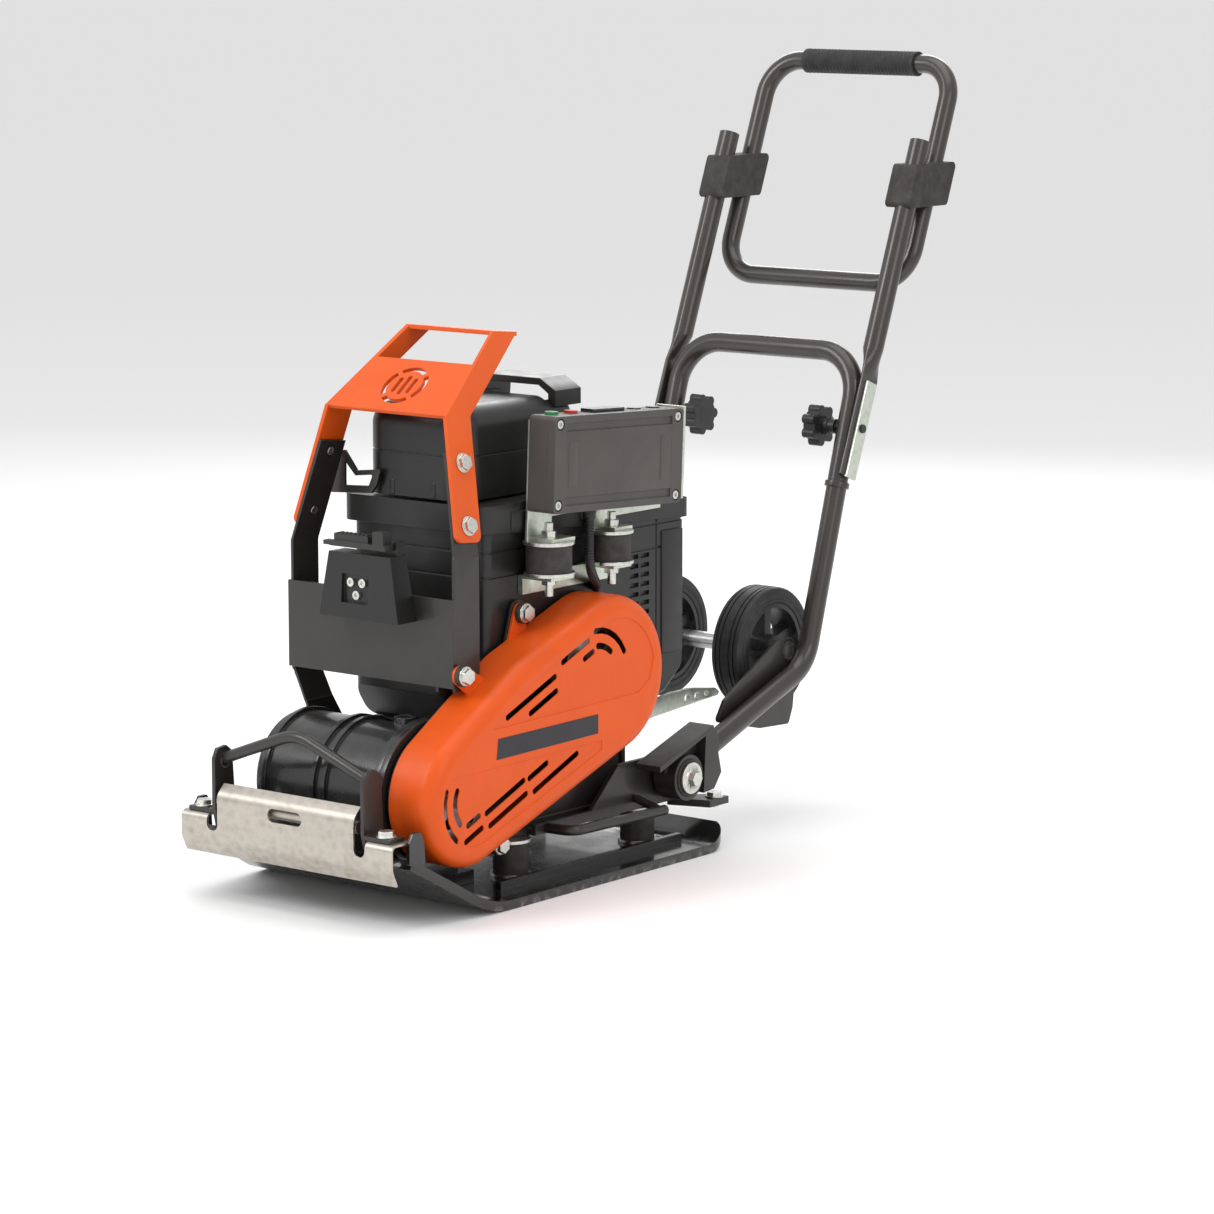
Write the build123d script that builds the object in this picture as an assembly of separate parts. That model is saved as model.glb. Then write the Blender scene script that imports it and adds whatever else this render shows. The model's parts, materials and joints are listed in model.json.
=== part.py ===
from build123d import *
import os
from math import sin, cos, tan, radians, degrees, pi, sqrt, atan2, acos

os.makedirs("parts", exist_ok=True)

# ---------------------------------------------------------------- driving dimensions (mm)
# +Z up, -Y is the travel direction, +X is the belt side. Origin: centre of the flat sole.
PLATE_W, SOLE_HALF = 350.0, 178.0        # base plate width, half length of its flat sole
PLATE_T = 11.0                           # base plate thickness
NOSE_A, NOSE_LEN = 30.0, 104.0           # slope and length of the upturned nose
EX_Y, EX_Z, EX_R = -226.0, 128.0, 72.0   # exciter axis and drum radius
MO_Y, MO_Z, MO_R = 23.0, 231.0, 91.0     # motor axis and the cover's radius around it
CV_R = 75.0                              # the cover's radius around the exciter axis
CV_X0, CV_X1 = 104.5, 165.0              # belt cover, rim and face
TUBE_R, TUBE_B = 12.5, 10.5              # handle tube, outer and inner radius
LEG_X, UP_X = 133.0, 145.0               # half spacing of the lower legs and of the upper tubes
PIV_Y, PIV_Z = 174.5, 88.0               # handle fold axis
KNOB_Y, KNOB_Z = 506.5, 464.0            # knob axis
WH_Y, WH_Z, WH_R = 409.0, 202.0, 75.0    # transport wheels
AXLE_R = 10.0


# ---------------------------------------------------------------- helpers
def box(x0, x1, y0, y1, z0, z1):
    return Pos((x0 + x1) / 2, (y0 + y1) / 2, (z0 + z1) / 2) * Box(x1 - x0, y1 - y0, z1 - z0)


def cyl(axis, a, b, r, c0, c1):
    # cylinder along an axis, from c0 to c1; a and b are its place on the other two axes
    if axis == "x":
        pl = Plane((c0, a, b), x_dir=(0, 1, 0), z_dir=(1, 0, 0))
    elif axis == "y":
        pl = Plane((a, c0, b), x_dir=(1, 0, 0), z_dir=(0, 1, 0))
    else:
        pl = Plane((a, b, c0), x_dir=(1, 0, 0), z_dir=(0, 0, 1))
    return extrude(pl * Circle(r), amount=c1 - c0)


def yz(pts, x0, x1, r=0):
    # outline in the YZ plane, pulled from x0 to x1
    face = Plane.YZ.offset(x0) * Polygon(*pts, align=None)
    if r:
        face = fillet(face.vertices(), r)
    return extrude(face, amount=x1 - x0, dir=(1, 0, 0))


def xz(pts, y0, y1, r=0):
    face = Plane.XZ.offset(-y1) * Polygon(*pts, align=None)
    if r:
        face = fillet(face.vertices(), r)
    return extrude(face, amount=y1 - y0, dir=(0, -1, 0))


def xy(pts, z0, z1, r=0):
    face = Plane.XY.offset(z0) * Polygon(*pts, align=None)
    if r:
        face = fillet(face.vertices(), r)
    return extrude(face, amount=z1 - z0, dir=(0, 0, 1))


def tube(pts, bend, r, b=0.0):
    path = FilletPolyline(*pts, radius=bend) if len(pts) > 2 else Line(*pts)
    pl = Plane(origin=path @ 0, z_dir=path % 0)
    ring = Circle(r) - Circle(b) if b else Circle(r)
    return sweep(pl * ring, path=path)


def panel(pts, vec):
    # flat polygon in space, thickened along vec
    return extrude(make_face(Polyline(*pts, close=True)), amount=Vector(*vec).length,
                   dir=Vector(*vec).normalized())


def pull_x(face2d, x0, x1):
    return extrude(Plane.YZ.offset(x0) * face2d, amount=x1 - x0, dir=(1, 0, 0))


def mirror_x(s):
    return mirror(s, about=Plane.YZ)


def both(s):
    return s + mirror_x(s)


def group(items):
    flat = []
    for i in items:
        flat += list(i.solids())
    return Compound(children=flat)


def bolt(at, way, d=10.0, af=16.0, head=7.0, flange=22.0, shank=14.0):
    # flange bolt: seat at the given place, head pointing along way
    pl = Plane(origin=at, z_dir=way)
    h = extrude(pl * Circle(flange / 2), amount=1.8)
    hexa = extrude(pl * RegularPolygon(af / 2, 6, major_radius=False), amount=head)
    cone = pl * Pos(0, 0, head / 2) * Cylinder(af * 0.565, head)
    s = h + (hexa & cone)
    return s + extrude(pl * Circle(d / 2), amount=-shank)


def socket_screw(at, way, d=6.0, head_r=5.0, head=4.0, shank=8.0):
    pl = Plane(origin=at, z_dir=way)
    s = extrude(pl * Circle(head_r), amount=head) + extrude(pl * Circle(d / 2), amount=-shank)
    return s - extrude(pl.offset(head - 2.2) * RegularPolygon(head_r * 0.5, 6), amount=5)


def hull2(c1, r1, c2, r2):
    # outline around two circles
    d = sqrt((c2[0] - c1[0]) ** 2 + (c2[1] - c1[1]) ** 2)
    th = atan2(c2[1] - c1[1], c2[0] - c1[0])
    be = acos((r1 - r2) / d)
    n1, n2 = (cos(th + be), sin(th + be)), (cos(th - be), sin(th - be))
    pts = [(c1[0] + r1 * n1[0], c1[1] + r1 * n1[1]), (c2[0] + r2 * n1[0], c2[1] + r2 * n1[1]),
           (c2[0] + r2 * n2[0], c2[1] + r2 * n2[1]), (c1[0] + r1 * n2[0], c1[1] + r1 * n2[1])]
    return Pos(*c1) * Circle(r1) + Pos(*c2) * Circle(r2) + Polygon(*pts, align=None)


def out(shape, node):
    export_step(shape, f"parts/{node}.step")


# ---------------------------------------------------------------- base plate
def arc3(cy, cz, r, a0, a1):
    p = [(cy + r * sin(radians(a)), cz - r * cos(radians(a))) for a in (a0, (a0 + a1) / 2, a1)]
    return ThreePointArc(*p)


NR, RR, RA = 120.0, 60.0, 25.0
ca, sa = cos(radians(NOSE_A)), sin(radians(NOSE_A))
bot_nose = arc3(-SOLE_HALF, NR, NR, 0, -NOSE_A)
top_nose = arc3(-SOLE_HALF, NR, NR - PLATE_T, -NOSE_A, 0)
nose_b = bot_nose @ 1
nose_t = top_nose @ 0
tip_b = (nose_b.X - NOSE_LEN * ca, nose_b.Y + NOSE_LEN * sa)
tip_t = (nose_t.X - NOSE_LEN * ca, nose_t.Y + NOSE_LEN * sa)
bot_rear = arc3(SOLE_HALF, RR, RR, RA, 0)
top_rear = arc3(SOLE_HALF, RR, RR - PLATE_T, 0, RA)
rb, rt = bot_rear @ 0, top_rear @ 1
cr, sr = cos(radians(RA)), sin(radians(RA))
END = 30.0
end_b = (rb.X + END * cr, rb.Y + END * sr)
end_t = (rt.X + END * cr, rt.Y + END * sr)
outline = [Line(end_b, (rb.X, rb.Y)), bot_rear, Line((SOLE_HALF, 0), (-SOLE_HALF, 0)), bot_nose,
           Line((nose_b.X, nose_b.Y), tip_b), Line(tip_b, tip_t), Line(tip_t, (nose_t.X, nose_t.Y)),
           top_nose, Line((-SOLE_HALF, PLATE_T), (SOLE_HALF, PLATE_T)), top_rear,
           Line((rt.X, rt.Y), end_t), Line(end_t, end_b)]
side_face = make_face(outline)
HW = PLATE_W / 2
slab = pull_x(side_face, -HW, HW)
plan = Polygon((-157, -335), (157, -335), (HW, -215), (HW, 230), (-HW, 230), (-HW, -215), align=None)
plan = fillet(plan.vertices().group_by(Axis.Y)[-1], 42)
plan = fillet(plan.vertices().filter_by(lambda v: -220 < v.Y < -210), 60)
plan = fillet(plan.vertices().group_by(Axis.Y)[0], 10)
base = slab & extrude(plan, amount=120, dir=(0, 0, 1))
rib = box(128, 136, -150, 178, PLATE_T - 2, 20)
lug = yz([(-330, 74), (-312, 66), (-304, 72), (-306, 98), (-312, 108), (-323, 108), (-330, 98)], 155.3, 160, 3)
base = base + both(rib) + both(lug)
out(base, "base_plate")
plate_cut = slab + box(-200, 200, -400, 300, -50, PLATE_T) \
    + yz([(-SOLE_HALF, -60), (-SOLE_HALF, PLATE_T), (nose_t.X, nose_t.Y), tip_t,
          (tip_t[0] - 50, tip_t[1]), (-400, -60)], -200, 200)

# ---------------------------------------------------------------- exciter housing, caps and screws
BORE = 58.0
drum = cyl("x", EX_Y, EX_Z, EX_R, -85, 92)
for x in (-83, -11, 5):
    drum = drum + cyl("x", EX_Y, EX_Z, EX_R + 4, x, x + 6)
drum = drum + cyl("x", EX_Y, EX_Z, 82, 84, 92)
foot = yz([(EX_Y - 62, 8), (EX_Y + 62, 8), (EX_Y + 64, 60), (EX_Y + 56, 110), (EX_Y - 56, 110),
           (EX_Y - 64, 60)], -78, 85)
toes = box(-80, 87, EX_Y + 55, EX_Y + 88, 8, 26)
brow = pull_x(hull2((EX_Y, EX_Z), EX_R, (-292, 64), 14), -85, 84)
filler = cyl("z", 58, EX_Y + 8, 13, EX_Z + 50, EX_Z + 80)
housing = drum + foot + toes + brow + filler - cyl("x", EX_Y, EX_Z, BORE, -90, 97) - plate_cut
housing = housing - cyl("z", 58, EX_Y + 8, 6, EX_Z + 72, EX_Z + 90)
out(housing, "exciter_housing")

cap_l = cyl("x", EX_Y, EX_Z, 70, -95, -85) + cyl("x", EX_Y, EX_Z, BORE, -85, -69) \
    + cyl("x", EX_Y, EX_Z, 40, -99, -95)
cap_l = cap_l - cyl("x", EX_Y, EX_Z, 31, -85, -60)
cap_r = cyl("x", EX_Y, EX_Z, 82, 92, 99) + cyl("x", EX_Y, EX_Z, BORE, 76, 92)
cap_r = cap_r - cyl("x", EX_Y, EX_Z, 31, 70, 92) - cyl("x", EX_Y, EX_Z, 17, 60, 120)
for i in range(6):
    a = radians(30 + 60 * i)
    cap_l = cap_l + cyl("x", EX_Y + 62 * cos(a), EX_Z + 62 * sin(a), 5, -99, -95)
out(group([cap_l, cap_r]), "exciter_caps")
bearings = [cyl("x", EX_Y, EX_Z, 31, a, b) - cyl("x", EX_Y, EX_Z, 15, a, b)
            for a, b in ((-85, -69), (76, 92))]
out(group(bearings), "exciter_bearings")

# rotating set: shaft, eccentric weights and pulley
shaft = cyl("x", EX_Y, EX_Z, 14.95, -84, 98) + cyl("x", EX_Y, EX_Z, 12, 98, 150)
out(shaft, "exciter_shaft")
weights = []
for x0, x1 in ((-58, -14), (18, 62)):
    w = cyl("x", EX_Y, EX_Z, 52, x0, x1) & box(x0, x1, EX_Y - 70, EX_Y + 70, EX_Z - 70, EX_Z)
    w = w + cyl("x", EX_Y, EX_Z, 24, x0, x1) - cyl("x", EX_Y, EX_Z, 14.95, -90, 90)
    weights.append(w)
out(group(weights), "eccentric_weights")


def pulley(y, z, r, bore):
    p = cyl("x", y, z, r, 119, 141) - cyl("x", y, z, bore, 110, 150)
    p = p - (cyl("x", y, z, r + 1, 124.8, 135.2) - cyl("x", y, z, r - 8.4, 124, 136))
    for a in range(5):
        t = radians(72 * a + 20)
        rm = (r - 8.4 + bore + 8) / 2
        p = p - cyl("x", y + rm * cos(t), z + rm * sin(t), (r - 8.4 - bore - 8) * 0.3, 110, 150)
    return p


out(pulley(EX_Y, EX_Z, 50, 12), "exciter_pulley")

# ---------------------------------------------------------------- motor case, rotor, pulley and belt
case = cyl("x", MO_Y, MO_Z, 74, -10, 96) - cyl("x", MO_Y, MO_Z, 62, 0, 88) \
    - cyl("x", MO_Y, MO_Z, 12.05, 80, 100)
for i in range(12):
    a = 30 * i
    fin = Plane((0, MO_Y, MO_Z), x_dir=(1, 0, 0), z_dir=(0, cos(radians(a)), sin(radians(a)))) \
        * Pos(45, 0, 75.5) * Box(90, 4, 6)
    case = case + fin
out(case, "motor_case")
rotor = cyl("x", MO_Y, MO_Z, 55, 8, 78) + cyl("x", MO_Y, MO_Z, 12, 2, 150)
out(rotor, "motor_rotor")
out(pulley(MO_Y, MO_Z, 66, 12), "motor_pulley")
belt2d = hull2((EX_Y, EX_Z), 50, (MO_Y, MO_Z), 66) - hull2((EX_Y, EX_Z), 42, (MO_Y, MO_Z), 58)
out(pull_x(belt2d, 125, 135), "belt")

# ---------------------------------------------------------------- belt cover and its back plate
AX = sqrt((MO_Y - EX_Y) ** 2 + (MO_Z - EX_Z) ** 2)
UA = ((MO_Y - EX_Y) / AX, (MO_Z - EX_Z) / AX)
UN = (-UA[1], UA[0])


def on_cover(s, t):
    # s runs from the exciter axis towards the motor axis, t square to it and upwards
    return (EX_Y + s * UA[0] + t * UN[0], EX_Z + s * UA[1] + t * UN[1])


def cover_outline(d):
    # hull of three circles: exciter end, a slight bulge along the top, motor end
    c1, c2, cm = (EX_Y, EX_Z), (MO_Y, MO_Z), on_cover(AX * 0.52, 7)
    r1, r2, rm = CV_R - d, MO_R - d, (MO_R + CV_R) / 2 + 6.5 - d

    def normal(p, rp, q, rq, side):
        dist = sqrt((q[0] - p[0]) ** 2 + (q[1] - p[1]) ** 2)
        return atan2(q[1] - p[1], q[0] - p[0]) + side * acos((rp - rq) / dist)

    na, nb, nc = normal(c1, r1, cm, rm, 1), normal(cm, rm, c2, r2, 1), normal(c1, r1, c2, r2, -1)

    def at(c, r, a):
        return (c[0] + r * cos(a), c[1] + r * sin(a))

    edges = [Line(at(c1, r1, na), at(cm, rm, na)),
             ThreePointArc(at(cm, rm, na), at(cm, rm, (na + nb) / 2), at(cm, rm, nb)),
             Line(at(cm, rm, nb), at(c2, r2, nb)),
             ThreePointArc(at(c2, r2, nb), at(c2, r2, (nb + nc) / 2), at(c2, r2, nc)),
             Line(at(c2, r2, nc), at(c1, r1, nc)),
             ThreePointArc(at(c1, r1, nc), at(c1, r1, (na + nc) / 2 + pi), at(c1, r1, na))]
    return make_face(edges)


def capsule(p, q, w, x0, x1):
    return pull_x(hull2(p, w / 2, q, w / 2 - 0.001), x0, x1)


def arc_slot(c, r, a0, a1, w, x0, x1, n=5):
    s = None
    pts = [(c[0] + r * cos(radians(a0 + (a1 - a0) * i / n)), c[1] + r * sin(radians(a0 + (a1 - a0) * i / n)))
           for i in range(n + 1)]
    for p, q in zip(pts, pts[1:]):
        k = capsule(p, q, w, x0, x1)
        s = k if s is None else s + k
    return s


CV_T = 3.0
depth = CV_X1 - CV_X0
outer = pull_x(cover_outline(0), CV_X0, CV_X1)
outer = fillet(outer.faces().sort_by(Axis.X)[-1].edges(), 18)
inner = pull_x(cover_outline(CV_T), CV_X0 - 1, CV_X1 - CV_T)
inner = fillet(inner.faces().sort_by(Axis.X)[-1].edges(), 15.5)
cover = outer - inner
# recessed fields above and below the plain middle band
fields = pull_x(cover_outline(25), CV_X1 - 1.2, CV_X1 + 4)
upper_field = fields & yz([(EX_Y + 30, EX_Z + 74), (MO_Y + 36, EX_Z + 79), (MO_Y + 58, EX_Z + 92),
                           (MO_Y + 100, EX_Z + 240), (EX_Y - 60, EX_Z + 240)], CV_X1 - 5, CV_X1 + 5)
lower_field = fields & yz([(EX_Y - 90, EX_Z + 30), (MO_Y - 30, EX_Z + 34), (MO_Y - 30, EX_Z - 90),
                           (EX_Y - 90, EX_Z - 90)], CV_X1 - 5, CV_X1 + 5)
cover = cover - upper_field - lower_field
SLOT_W = 7.0
rows = [(84, 172, 56), (120, 168, 40), (191, 238, 64), (226, 241, 48),
        (92, 172, -44), (90, 122, -26), (12, 80, -23), (12, 78, -39), (-20, -1, -19), (-30, -2, -34)]
for s0, s1, t in rows:
    cover = cover - capsule(on_cover(s0, t), on_cover(s1, t), SLOT_W, CV_X1 - 8, CV_X1 + 2)
for c, r, a0, a1 in (((MO_Y - 37, MO_Z + 1), 55.5, 94, 28), ((MO_Y - 37, MO_Z + 1), 38, 87, 49),
                     ((EX_Y, EX_Z), 50, 160, 231), ((EX_Y, EX_Z), 33, 152, 221)):
    cover = cover - arc_slot(c, r, a0, a1, SLOT_W, CV_X1 - 8, CV_X1 + 2)
# ears for the fixings: two along the upper edge, one below; (y, z, inner face of the ear)
EARS = [(-80, 311, CV_X0), (-204, 259, 122.0), (-125, 55, CV_X0)]
EAR_T = 4.0
for y, z, x in EARS:
    toward = on_cover(AX * 0.5, 20 if z > 200 else -20)
    k = 34 / sqrt((toward[0] - y) ** 2 + (toward[1] - z) ** 2)
    foot_pt = (y + (toward[0] - y) * k, z + (toward[1] - z) * k)
    ear = pull_x(hull2((y, z), 11, foot_pt, 14), x, x + EAR_T)
    cover = cover + (ear - pull_x(cover_outline(CV_T), x - 1, x + 20) - cyl("x", y, z, 5.5, 100, 150))
out(cover, "belt_cover")
label = yz([(-191, 168), (-14, 171), (-14, 193), (-188, 191)], CV_X1, CV_X1 + 0.4)
out(label, "cover_label")

back = pull_x(cover_outline(2), 101, 104.4)
for y, z, x in EARS:
    if x == CV_X0:
        back = back + pull_x(hull2((y, z), 14, on_cover(AX * 0.5, 0), 30), 101, 104.4)
back = back - cyl("x", EX_Y, EX_Z, 22, 90, 120) - cyl("x", MO_Y, MO_Z, 26, 90, 120)
for y, z, x in EARS:
    back = back - cyl("x", y, z, 5.5, 90, 130)
out(back, "cover_backplate")
grommets = [cyl("x", y, z, 12, x + EAR_T, x + EAR_T + 6) - cyl("x", y, z, 5.2, 100, 150) for y, z, x in EARS]
out(group(grommets), "cover_grommets")

# ---------------------------------------------------------------- front guard, bumper frame, pipe


def bent(pts, rounds, x0, x1):
    # bent sheet: an outline in the YZ plane with chosen corners rounded
    face = Plane.YZ.offset(x0) * Polygon(*pts, align=None)
    for y, z, r in rounds:
        face = fillet(face.vertices().sort_by_distance((x0, y, z))[0], r)
    return extrude(face, amount=x1 - x0, dir=(1, 0, 0))


guard = bent([(-346, 52), (-354, 69), (-354, 98.5), (-322, 98.5), (-322, 95.5), (-351, 95.5), (-351, 69.7),
              (-343.3, 53.3)], [(-354, 98.5, 8), (-351, 95.5, 5), (-354, 69, 20), (-351, 69.7, 17)], -155, 155)
guard = guard - box(-116, 116, -350.9, -310, 80, 110) - box(-116, 116, -360, -340, 93, 110)
mid = bent([(-354, 80), (-354, 121), (-341.4, 133), (-339.4, 130.8), (-351, 119.7), (-351, 80)],
           [(-354, 121, 16), (-351, 119.7, 13)], -101, 101)
guard = guard + mid
slot = Pos(0, -352, 109) * extrude(Plane.XZ * SlotOverall(50, 15), amount=10, both=True)
guard = guard - slot
for s in (-1, 1):
    guard = guard - cyl("y", s * 108.5, 88, 8, -360, -345) - box(s * 108.5 - 8, s * 108.5 + 8, -360, -345, 88, 112)
    guard = guard - cyl("z", s * 134, -338, 5.5, 80, 110)
out(guard, "front_guard")

upright = yz([(-349.5, 104), (-349.5, 160), (-344, 171), (-330, 173), (-321, 166), (-318, 120), (-318, 60),
              (-340, 60), (-346.5, 92)], 107, 112, 0)
upright = upright - plate_cut
foot = box(112, 148, -349, -324, 98.6, 103.2) - cyl("z", 134, -338, 5.5, 80, 110)
frame = both(upright + foot)
bar = tube([(-109.5, -333, 158), (0, -333, 199), (109.5, -333, 158)], 60, 6.5)
out(frame + bar, "bumper_frame")
pipe = cyl("x", -340.5, 109, 7, -98, 98) - cyl("x", -340.5, 109, 5.5, -97, 97)
for i in range(7):
    pipe = pipe - cyl("z", -78 + 26 * i, -340.5, 1.5, 100, 109)
out(pipe, "sprinkler_pipe")

# ---------------------------------------------------------------- rubber buffers, deck, motor stand
rubbers, discs = [], []
for x in (-95, 95):
    for y in (-84, 146):
        rubbers.append(cyl("z", x, y, 20, 15, 50))
        discs += [cyl("z", x, y, 23, PLATE_T, 15), cyl("z", x, y, 23, 50, 54)]
DAMP_Y = (-54, 58)
DAMP_X = 127.0
DAMP_R = (26.0, 22.0)
DZ = 356.0
for y, r in zip(DAMP_Y, DAMP_R):
    rubbers.append(cyl("z", DAMP_X, y, r, DZ, DZ + 31))
    discs += [cyl("z", DAMP_X, y, r + 3, DZ - 4, DZ), cyl("z", DAMP_X, y, r + 3, DZ + 31, DZ + 35)]
    discs.append(extrude(Plane.XY.offset(DZ + 39) * Pos(DAMP_X, y) * RegularPolygon(9, 6), amount=7)
                 + cyl("z", DAMP_X, y, 4.9, DZ + 35, DZ + 55))
    discs.append(extrude(Plane.XY.offset(DZ - 15) * Pos(DAMP_X, y) * RegularPolygon(9, 6), amount=7)
                 + cyl("z", DAMP_X, y, 4.9, DZ - 28, DZ - 4))
out(group(rubbers), "rubber_buffers")
out(group(discs), "buffer_plates")

deck = box(-112, 112, -118, 216, 54, 60)
deck = deck - both(box(98, 130, -130, -60, 50, 70))
deck = deck + both(box(106, 112, -60, 216, 54, 112))
deck = deck - both(yz([(-60, 112), (-60, 66), (40, 66), (90, 112)], 100, 120))
deck = deck + both(xy([(100, 196), (150, 214), (150, 250), (128, 250), (100, 216)], 46, 54.5))
deck = deck - both(cyl("z", 139, 236, 5.2, 40, 60))
deck = deck - cyl("x", PIV_Y, PIV_Z, 6.2, -130, 130)
out(deck, "deck")

stand = box(-90, 90, -116, 130, 60, 66)
stand = stand + both(box(80, 88, -100, 120, 60, 172)) + box(-90, 90, -108, -102, 60, 176)
stand = stand + box(-90, 90, 124, 130, 60, 172)
stand = stand - cyl("x", MO_Y, MO_Z, 76, -120, 120)
stand = stand + box(-90, 90, -108, 130, 170, 176) - cyl("x", MO_Y, MO_Z, 79, -30, 97)
stand = stand - both(cyl("x", 10, 115, 28, 70, 100)) - both(cyl("x", -60, 115, 18, 70, 100))
out(stand, "motor_stand")

# round guide bar along the deck's belt side
dbar = tube([(112.4, -40, 60), (150, -40, 61), (150, 128, 58)], 14, 6)
dbar = dbar + tube([(150, 120, 58.3), (113.6, 120, 68)], 1, 5)
out(dbar, "deck_bar")

# tongue with three holes behind the deck
tongue = yz([(130.1, 125), (382, 142), (386, 146), (378, 152), (330, 158), (290, 158), (236, 150), (130.1, 150)],
            27, 33)
tongue = tongue + box(12, 60, 130.1, 135, 118, 158)
for i in range(3):
    tongue = tongue - cyl("x", 322 + 19 * i, 147, 5.2 - 0.5 * i, 20, 40)
out(tongue, "tie_bracket")

# ---------------------------------------------------------------- guard frame, lift handle and hook
T_ST = 5.0
K0, K1, K2 = Vector(122, -184, 403), Vector(89, -163, 537), Vector(64, -53, 620)
WV = Vector(0, 20.5, -2.0)


def pull(pts, inner, t):
    # flat sheet through pts, thickened towards the point called inner
    n = (pts[1] - pts[0]).cross(pts[2] - pts[1]).normalized()
    if n.dot(inner - pts[0]) < 0:
        n = n * -1
    return panel([tuple(p) for p in pts], tuple(n * t))


core = Vector(0, -60, 500)
seg_a = pull([K0 - WV, K0 + WV, K1 + WV, K1 - WV], core, T_ST)
seg_b = pull([K1 - WV, K1 + WV, K2 + WV, K2 - WV], core, T_ST)
mx = lambda v: Vector(-v.X, v.Y, v.Z)
top = pull([K2 - WV, K2 + WV, mx(K2 + WV), mx(K2 - WV)], core, T_ST)
f1, f2 = K1 - WV, K1 - WV + (K2 - K1) * 0.6
sheet = pull([f1, f2, mx(f2), mx(f1)], Vector(0, 0, 500), T_ST)
lift = both(seg_a) + both(seg_b) + top + sheet
# pierced pattern: a broken ring round three plain bars
mid_pt = (f1 + f2 + mx(f1) + mx(f2)) * 0.25
nrm = (f2 - f1).cross(Vector(1, 0, 0)).normalized()
spl = Plane(origin=tuple(mid_pt), x_dir=(1, 0, 0), z_dir=tuple(nrm))
low = lift.edges().filter_by(lambda e: abs(e.length - T_ST) < 0.3 and e.center().Z < 412)
lift = fillet(low, 9)
ring = Circle(29) - Circle(23)
for turn in (45, -45):
    ring = ring - Rot(0, 0, turn) * Rectangle(80, 6)
lift = lift - extrude(spl * ring, amount=12, both=True)
for i in (-1, 0, 1):
    lift = lift - extrude(spl * Pos(10.5 * i, 0) * SlotOverall(30 - 6 * abs(i), 5.5, rotation=90), amount=12, both=True)
STRAP_B = [K0 + (K1 - K0) * t for t in (0.13, 0.63)]
sn = (K1 - K0).cross(WV).normalized()
sn = sn if sn.X > 0 else sn * -1
for p in STRAP_B:
    hole = cyl("z", 0, 0, 5.5, -30, 30)
    hole = Plane(origin=tuple(p), z_dir=tuple(sn)) * hole
    lift = lift - both(hole)
out(lift, "lift_handle")

G_T = 4.0
off = sn * -5.25
g0 = K0 + (K1 - K0) * -0.115 + off
g1 = K0 + (K1 - K0) * 0.72 + off
GX = g0.X
upper_g = pull([g0 - WV, g0 + WV, g1 + WV, g1 - WV], core, G_T)
y_f, y_r = -208, -166
low_g = box(GX - G_T, GX, y_f, y_r, 240, g0.Z)
low_g = low_g + yz([(y_f, g0.Z - 6), (y_f, g0.Z), (g0.Y - 20.5, g0.Z + 2), (g0.Y + 20.5, g0.Z - 2),
                    (y_r, g0.Z - 8), (y_r, g0.Z - 30)], GX - G_T, GX)
face = box(-GX - 1, GX + 1, y_f - 4, y_f, 244, 342)
gframe = both(upper_g) + both(low_g) + face
gframe = gframe - pull_x(cover_outline(-3), 100, 170)
# legs: outside the drum on the free side, tucked in behind it on the belt side
leg_top = panel([(-GX, y_f, 244), (-GX, y_r, 244), (-104.5, -162, 205), (-104.5, -206, 205)], (4, 0, 0))
leg_far = yz([(-206, 205.5), (-162, 205.5), (-100, 110), (-100, 60), (-116, 60), (-116, 96), (-186, 160)],
             -104.5, -100.5)
leg_near = yz([(y_f, 330), (y_f, 238), (-180, 206), (-138, 150), (-116, 110), (-116, 60), (-100, 60),
               (-100, 120), (-138, 206), (-168, 300), (-168, 330)], 92.5, 96.5)
gframe = gframe + leg_top + leg_far + leg_near
gframe = gframe - cyl("x", EARS[1][0], EARS[1][1], 5.2, 110, 130)
for p in STRAP_B:
    hole = Plane(origin=tuple(p), z_dir=tuple(sn)) * cyl("z", 0, 0, 5.2, -30, 30)
    gframe = gframe - both(hole)
out(gframe, "guard_frame")

hook_c = K0 + (K1 - K0) * 0.5
hx, hz = -hook_c.X - 1, hook_c.Z - 10
hook = xz([(hx - 10, hz - 26), (hx + 52, hz - 22), (hx + 60, hz - 12), (hx + 66, hz + 6), (hx + 30, hz + 2),
           (hx + 12, hz + 24), (hx + 5, hz + 22), (hx - 4, hz - 2)], -146, -142, 1.5)
hook = hook - xz([(hx + 12, hz - 16), (hx + 48, hz - 14), (hx + 54, hz - 1), (hx + 28, hz - 4),
                  (hx + 12, hz + 12)], -150, -140, 1.5)
out(hook, "cable_hook")

# ---------------------------------------------------------------- catch block and lever
block = loft([Plane.XY.offset(314) * Pos(11, -227.5) * Rectangle(116, 31),
              Plane.XY.offset(386) * Pos(9, -225) * Rectangle(90, 26)])
block = block - box(-15, 24, -250, -236, 331, 363)
SCREW_XZ = [(-3, 354), (14, 354), (5, 340)]
for x, z in SCREW_XZ:
    block = block - cyl("y", x, z, 2.8, -237, -232)
CP_Y, CP_Z = -219.5, 396.0
block = block + cyl("x", CP_Y, CP_Z, 3.0, 20, 53) + box(48, 53, -225, -212.2, 385, 402)
out(block, "catch_block")
lever = cyl("x", CP_Y, CP_Z, 5.2, 22, 47.6) + box(-34, 47.6, -239, CP_Y - 1, 392, 398)
lever = lever + box(-46, -34, -236, -226, 392, 397) + box(28, 44, -238, -224, 397, 412) \
    + box(-30, 20, -236, -224, 397, 406)
lever = lever - cyl("x", CP_Y, CP_Z, 3.06, 15, 60) - box(-60, 21.9, CP_Y - 3, CP_Y + 10, 380, 420)
out(lever, "catch_lever")

# ---------------------------------------------------------------- motor housing, rim and battery
MH_Y0, MH_Y1, MH_X = -130, 234, 98


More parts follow.
